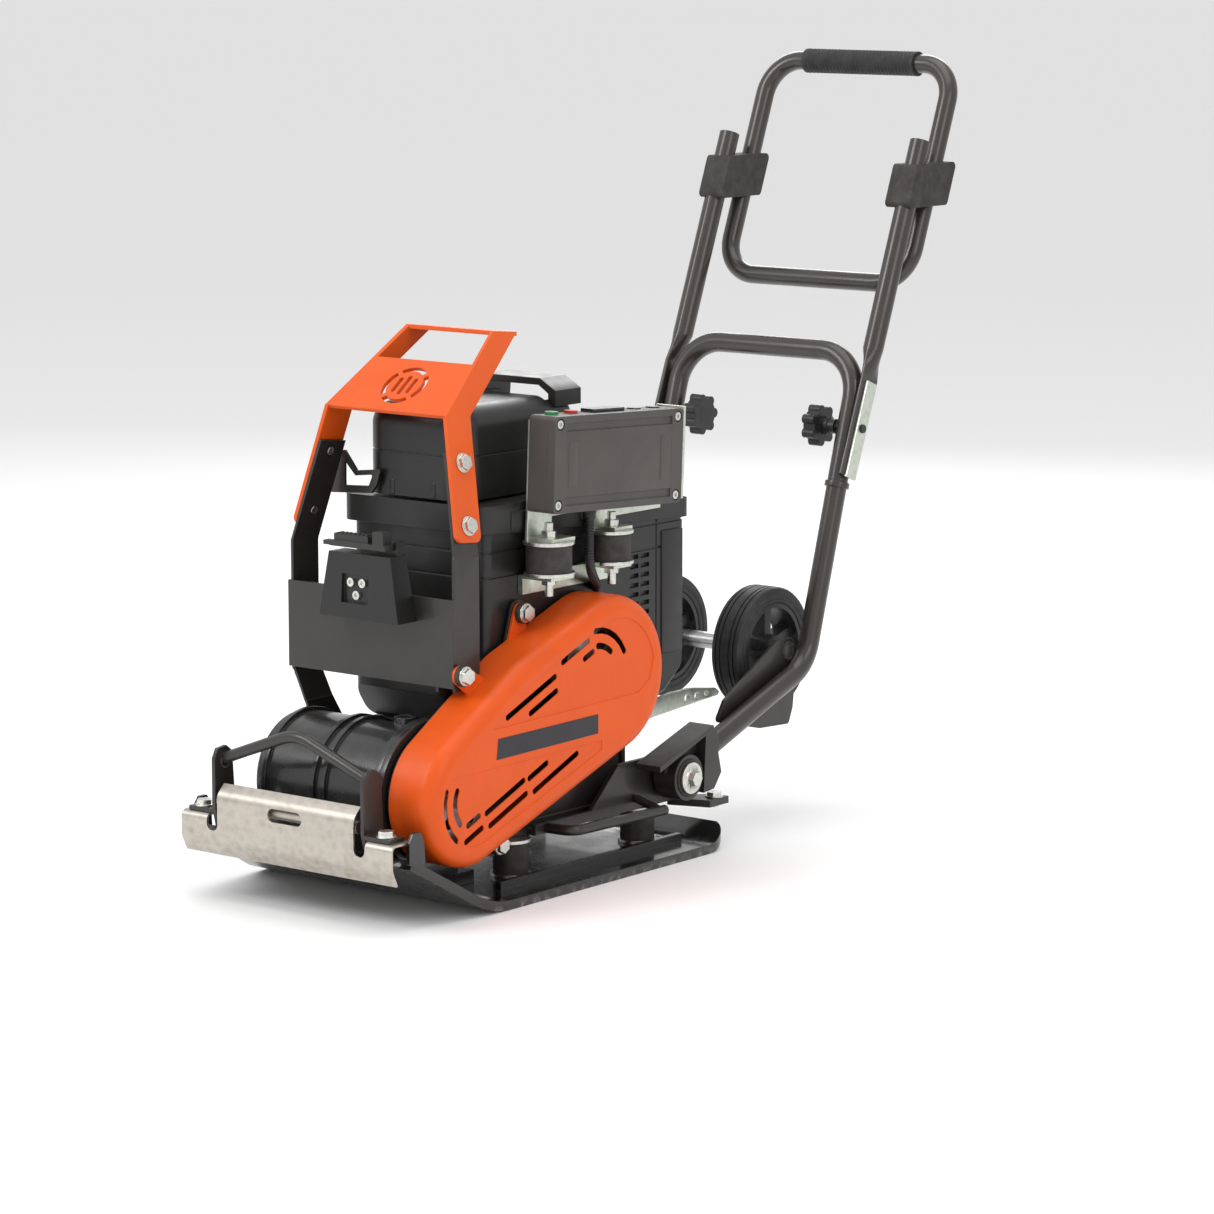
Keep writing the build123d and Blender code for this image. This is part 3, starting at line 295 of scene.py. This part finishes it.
for node_name, node in nodes.items():
    dress(node, slot_of[node_name], FINE_EDGE.get(node_name, EDGE))


# ---------------------------------------------------------------- mesh helpers
def piece(name, mesh, finish, like, standing_for=()):
    """A new mesh piece in a finish, riding with the body of the CAD node it belongs to."""
    obj = bpy.data.objects.new(name, mesh)
    bpy.context.collection.objects.link(obj)
    mesh.materials.append(FINISH[finish])
    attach(obj, body_of[like])
    if standing_for:
        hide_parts(*standing_for)
    return obj


def from_bmesh(name, bm):
    """Turns a finished bmesh into a mesh, smooth except at its sharp edges."""
    bmesh.ops.recalc_face_normals(bm, faces=bm.faces)
    mesh = bpy.data.meshes.new(name)
    bm.to_mesh(mesh)
    bm.free()
    mesh.shade_smooth()
    mesh.set_sharp_from_angle(angle=SHARP)
    return mesh


def ring_surface(name, stations, seg=48, close=True):
    """Skins circles along a path. Each station is (centre, direction, radius)."""
    bm = bmesh.new()
    rows = []
    side = None
    for centre, way, radius in stations:
        way = Vector(way).normalized()
        if side is None:
            side = way.orthogonal().normalized()
        side = (side - way * side.dot(way)).normalized()
        up = way.cross(side)
        row = []
        for i in range(seg):
            t = 2 * math.pi * i / seg
            out = side * math.cos(t) + up * math.sin(t)
            row.append(bm.verts.new(Vector(centre) + out * radius))
        rows.append(row)
    for a, b in zip(rows, rows[1:]):
        for i in range(seg):
            bm.faces.new((a[i], a[(i + 1) % seg], b[(i + 1) % seg], b[i]))
    if close:
        bm.faces.new(rows[0])
        bm.faces.new(rows[-1])
    else:
        for i in range(seg):
            bm.faces.new((rows[-1][i], rows[-1][(i + 1) % seg], rows[0][(i + 1) % seg], rows[0][i]))
    return from_bmesh(name, bm)


def soft_box(bm, lo, hi, r):
    """Adds a block with rounded edges to a bmesh."""
    part = bmesh.new()
    bmesh.ops.create_cube(part, size=1.0)
    size = [h - l for l, h in zip(lo, hi)]
    mid = [(h + l) / 2 for l, h in zip(lo, hi)]
    bmesh.ops.scale(part, vec=size, verts=part.verts)
    bmesh.ops.bevel(part, geom=part.edges[:], offset=min(r, min(size) * 0.49), segments=3, profile=0.5,
                    affect="EDGES")
    bmesh.ops.translate(part, vec=mid, verts=part.verts)
    made = bpy.data.meshes.new("part")
    part.to_mesh(made)
    part.free()
    bm.from_mesh(made)
    bpy.data.meshes.remove(made)


def box_piece(name, boxes, finish, like, r):
    """One piece made of rounded blocks, each given by two corners in millimetres."""
    bm = bmesh.new()
    for lo, hi in boxes:
        soft_box(bm, metres(lo), metres(hi), r)
    return piece(name, from_bmesh(name, bm), finish, like)


def weld_ring(name, centre, way, radius, bead, finish, like):
    """A bead of overlapping weld ripples round a joint."""
    way = Vector(way).normalized()
    side = way.orthogonal().normalized()
    up = way.cross(side)
    steps, steps_per_ripple = 96, 4
    stations = []
    for i in range(steps):
        t = math.radians(360 * i / steps)
        out = side * math.cos(t) + up * math.sin(t)
        along = up * math.cos(t) - side * math.sin(t)
        ripple = 1 + 0.13 * math.sin(i * 2 * math.pi / steps_per_ripple) + random.uniform(-0.07, 0.07)
        stations.append((Vector(centre) + out * radius, along, bead * ripple))
    return piece(name, ring_surface(name, stations, 10, close=False), finish, like)


def smooth_path(name, points, step):
    """Evenly spaced points on the NURBS line through a route."""
    curve = bpy.data.curves.new(name, "CURVE")
    curve.dimensions = "3D"
    spline = curve.splines.new("NURBS")
    spline.points.add(len(points) - 1)
    for p, at in zip(spline.points, points):
        p.co = (*at, 1)
    spline.order_u = 3
    spline.use_endpoint_u = True
    spline.resolution_u = 24
    holder = bpy.data.objects.new(name, curve)
    line = bpy.data.meshes.new_from_object(holder)
    pts = [v.co.copy() for v in line.vertices]
    bpy.data.objects.remove(holder)
    out, carry = [pts[0]], 0.0
    for a, b in zip(pts, pts[1:]):
        run = (b - a).length
        at = step - carry
        while at <= run:
            out.append(a.lerp(b, at / run))
            at += step
        carry = run - (at - step)
    return out


# ---------------------------------------------------------------- tyres: ribbed tread and ringed walls
def tyre(side):
    lo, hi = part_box(f"tyre_{side}")
    centre = (lo + hi) / 2
    wide = (hi.x - lo.x) / 2
    outer = (hi.z - lo.z) / 2
    inner = 0.056
    half = [(0.30, inner), (0.80, inner), (0.93, inner + 0.0006), (0.955, inner + 0.002), (0.955, 0.0602),
            (0.935, 0.0610), (0.935, 0.0625), (0.965, 0.0634), (0.985, 0.0660), (0.975, 0.0683),
            (0.950, 0.0690), (0.950, 0.0700), (0.955, 0.0706), (0.90, 0.0734), (0.80, outer - 0.0004)]
    for groove in (0.62, 0.31):
        half += [(groove + 0.05, outer), (groove + 0.03, outer - 0.0018), (groove - 0.03, outer - 0.0018),
                 (groove - 0.05, outer)]
    half += [(0.02, outer)]
    stations = [(centre + Vector((-t * wide, 0, 0)), (1, 0, 0), r) for t, r in half]
    stations += [(centre + Vector((t * wide, 0, 0)), (1, 0, 0), r) for t, r in reversed(half)]
    name = f"tyre_{side}_skin"
    skin = ring_surface(name, stations, 128, close=False)
    return piece(name, skin, "tyre", f"tyre_{side}", [f"tyre_{side}"])


tyre("left")
tyre("right")

# ---------------------------------------------------------------- corrugated conduit
ROUTE = [(130, 14, 419.0), (130, 14, 385), (130, 14, 355), (124, 30, 336), (106, 58, 325), (88, 74, 316)]
STEP, STEPS_PER_RIDGE = 0.00065, 5
VALLEY_RADIUS, RIDGE_HEIGHT = 0.0047, 0.0009
line = smooth_path("conduit_line", [Vector(p) * MM for p in ROUTE], STEP)
stations = []
for i, at in enumerate(line[:-1]):
    wave = 0.5 + 0.5 * math.cos(2 * math.pi * i / STEPS_PER_RIDGE)
    stations.append((at, line[i + 1] - at, VALLEY_RADIUS + RIDGE_HEIGHT * min(1.0, wave * 1.4)))
piece("conduit_skin", ring_surface("conduit_skin", stations, 24), "conduit_plastic", "conduit", ["conduit"])

# ---------------------------------------------------------------- grip sleeve with fine rings
lo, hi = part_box("grip_sleeve")
centre = (lo + hi) / 2
outer = (hi.z - lo.z) / 2
half_long = (hi.x - lo.x) / 2
END_STEP_IN = 0.0035
RING_STEPS, STEPS_PER_RING = 160, 5
stations = [(centre - Vector((half_long, 0, 0)), (1, 0, 0), outer - END_STEP_IN)]
for i in range(RING_STEPS + 1):
    t = -1 + 2 * i / RING_STEPS
    rib = 0.5 + 0.5 * math.cos(i * 2 * math.pi / STEPS_PER_RING)
    collar = 1.0 if abs(t) > 0.95 else 0.0
    shell = outer - 0.0014 + 0.0012 * max(rib, collar)
    stations.append((centre + Vector((t * half_long, 0, 0)), (1, 0, 0), shell))
stations.append((centre + Vector((half_long, 0, 0)), (1, 0, 0), outer - END_STEP_IN))
piece("grip_skin", ring_surface("grip_skin", stations, 48), "grip_rubber", "grip_sleeve", ["grip_sleeve"])

# ---------------------------------------------------------------- battery mouldings
lo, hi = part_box("battery_pack")
front = lo.y / MM
ribs = []
for i in range(4):
    y = front + 142 + 15 * i
    ribs.append(((-76, y, 452), (-73.5, y + 8, 500)))
box_piece("battery_ribs", ribs, "battery_plastic", "battery_pack", 0.0009)
feet = [((x, front - 0.8, 438.2), (x + 8, front + 3, 456)) for x in (26, -34)]
box_piece("battery_feet", feet, "battery_plastic", "battery_pack", 0.0012)

# ---------------------------------------------------------------- motor housing mouldings
lo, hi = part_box("motor_housing")
right, left, rear = hi.x / MM, lo.x / MM, hi.y / MM
fins = []
for row in range(6):
    z = 246 + 17 * row
    fins.append(((-72, rear - 3, z), (72, rear + 1.8, z + 7)))
box_piece("housing_fins", fins, "housing_plastic", "motor_housing", 0.0016)
pads = [((right - 4, 186, 226), (right + 2.2, 226, 372)), ((left - 2.2, 186, 226), (left + 4, 226, 372)),
        ((left - 2.2, -112, 240), (left + 4, 96, 340))]
box_piece("housing_pads", pads, "housing_plastic", "motor_housing", 0.0024)
lo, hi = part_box("housing_rim")
clips = []
for y in (-92, 30):
    clips.append(((hi.x / MM - 3, y, 403), (hi.x / MM + 1.6, y + 26, 425)))
    clips.append(((lo.x / MM - 1.6, y, 403), (lo.x / MM + 3, y + 26, 425)))
box_piece("rim_clips", clips, "housing_plastic", "housing_rim", 0.0014)

# ---------------------------------------------------------------- catch lever ribs
lo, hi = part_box("catch_lever")
front = lo.y / MM
ribs = [((-26 + 6 * i, front + 2.4, 405.6), (-23.4 + 6 * i, front + 14, 407.2)) for i in range(8)]
box_piece("catch_ribs", ribs, "catch_plastic", "catch_lever", 0.0004)

# ---------------------------------------------------------------- leaning control box field
press = Vector(joint["start_press"]["axis"])
lean_angle = math.atan2(press.y, -press.z)
lean_at = Vector((0, -74, 424)) * MM
bm = bmesh.new()
soft_box(bm, metres((146, -58, 441)), metres((149.8, 140, 515)), 0.0012)
for y in (-50, 116):
    soft_box(bm, metres((148, y, 452)), metres((150.6, y + 16, 504)), 0.0012)
bmesh.ops.rotate(bm, cent=lean_at, matrix=Matrix.Rotation(lean_angle, 3, "X"), verts=bm.verts)
piece("lid_field", from_bmesh("lid_field", bm), "box_plastic", "control_box_lid")

# ---------------------------------------------------------------- welds, knob caps and conduit gland
BUMPER_X, BUMPER_Y, BUMPER_Z = 0.1062, -0.3335, 0.1555      # where the round bar meets its uprights
KNOB_CAP = ((0.004, 0.0001), (0.004, 0.0105), (-0.0002, 0.0098), (0.0006, 0.0072), (0.0006, 0.0001))
axle_lo, axle_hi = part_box("axle")
wheel = Vector(joint["wheel_right_spin"]["pos_m"])
for sign, tag in ((-1, "left"), (1, "right")):
    weld_ring(f"bumper_weld_{tag}", (sign * BUMPER_X, BUMPER_Y, BUMPER_Z), (1, 0, 0), 0.0062, 0.0016,
              "black_steel", "bumper_frame")
    end = axle_hi.x if sign > 0 else axle_lo.x
    weld_ring(f"axle_weld_{tag}", (end - sign * 0.0005, wheel.y, wheel.z), (1, 0, 0), 0.0100, 0.0017,
              "black_steel", "wheel_brackets")
    lo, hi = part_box(f"knob_{tag}")
    centre = (lo + hi) / 2
    face = lo.x if sign > 0 else hi.x
    cap = [((face + sign * d, centre.y, centre.z), (-sign, 0, 0), r) for d, r in KNOB_CAP]
    piece(f"knob_cap_{tag}", ring_surface(f"knob_cap_{tag}", cap, 40), "knob_plastic", f"knob_{tag}")
gland = Vector(ROUTE[0]) * MM
turns = [(gland - Vector((0, 0, d * MM)), (0, 0, -1), r * MM) for d, r in
         ((-1.0, 7.2), (0.8, 8.4), (4.0, 8.4), (4.6, 7.4), (9.0, 7.4), (10.5, 6.4), (12.0, 5.9))]
piece("conduit_gland", ring_surface("conduit_gland", turns, 12), "knob_plastic", "conduit")

# ---------------------------------------------------------------- stage, light and camera
def pale(name, value):
    m = bpy.data.materials.new(name)
    m.use_nodes = True
    m.node_tree.nodes["Principled BSDF"].inputs["Base Color"].default_value = (value, value, value, 1)
    m.node_tree.nodes["Principled BSDF"].inputs["Roughness"].default_value = 0.75
    return m


FLOOR_HALF = 40.0
corners = [(x * FLOOR_HALF, y * FLOOR_HALF, 0) for x, y in ((-1, -1), (1, -1), (1, 1), (-1, 1))]
floor_mesh = bpy.data.meshes.new("floor")
floor_mesh.from_pydata(corners, [], [(0, 1, 2, 3)])
floor = bpy.data.objects.new("floor", floor_mesh)
bpy.context.collection.objects.link(floor)
floor_mesh.materials.append(pale("floor", 0.93))

world = bpy.data.worlds.new("world")
bpy.context.scene.world = world
world.use_nodes = True
world.node_tree.nodes["Background"].inputs["Color"].default_value = (1.0, 1.0, 1.0, 1)
world.node_tree.nodes["Background"].inputs["Strength"].default_value = 0.80


def softbox(name, at, aim, size, power):
    light = bpy.data.lights.new(name, "AREA")
    light.shape = "RECTANGLE"
    light.size, light.size_y = size
    light.energy = power
    lamp = bpy.data.objects.new(name, light)
    lamp.location = at
    lamp.rotation_mode = "QUATERNION"
    lamp.rotation_quaternion = (Vector(aim) - Vector(at)).to_track_quat("-Z", "Y")
    bpy.context.collection.objects.link(lamp)


softbox("key", (-1.6, -2.6, 2.6), (0, 0, 0.35), (1.5, 1.5), 50)
softbox("right", (3.0, -0.6, 2.0), (0, 0, 0.4), (1.2, 2.0), 18)
softbox("top", (0.2, 0.3, 3.0), (0, 0, 0.3), (2.2, 2.2), 26)
softbox("back", (-1.5, 2.8, 1.8), (0, 0, 0.5), (1.6, 1.2), 26)

AZIMUTH, ELEVATION = math.radians(38.6), math.radians(9.34)
CAMERA_AT = (3.1711, -3.7637, 1.1050)
SENSOR_MM, LENS_MM = 36.0, 129.42
back = Vector((math.sin(AZIMUTH) * math.cos(ELEVATION), -math.cos(AZIMUTH) * math.cos(ELEVATION),
               math.sin(ELEVATION)))
camera = bpy.data.objects.new("camera", bpy.data.cameras.new("camera"))
camera.data.sensor_width = SENSOR_MM
camera.data.lens = LENS_MM
camera.data.clip_end = 100.0
camera.location = CAMERA_AT
camera.rotation_mode = "QUATERNION"
camera.rotation_quaternion = (-back).to_track_quat("-Z", "Y")
bpy.context.collection.objects.link(camera)
bpy.context.scene.camera = camera
bpy.context.scene.view_settings.view_transform = "Standard"
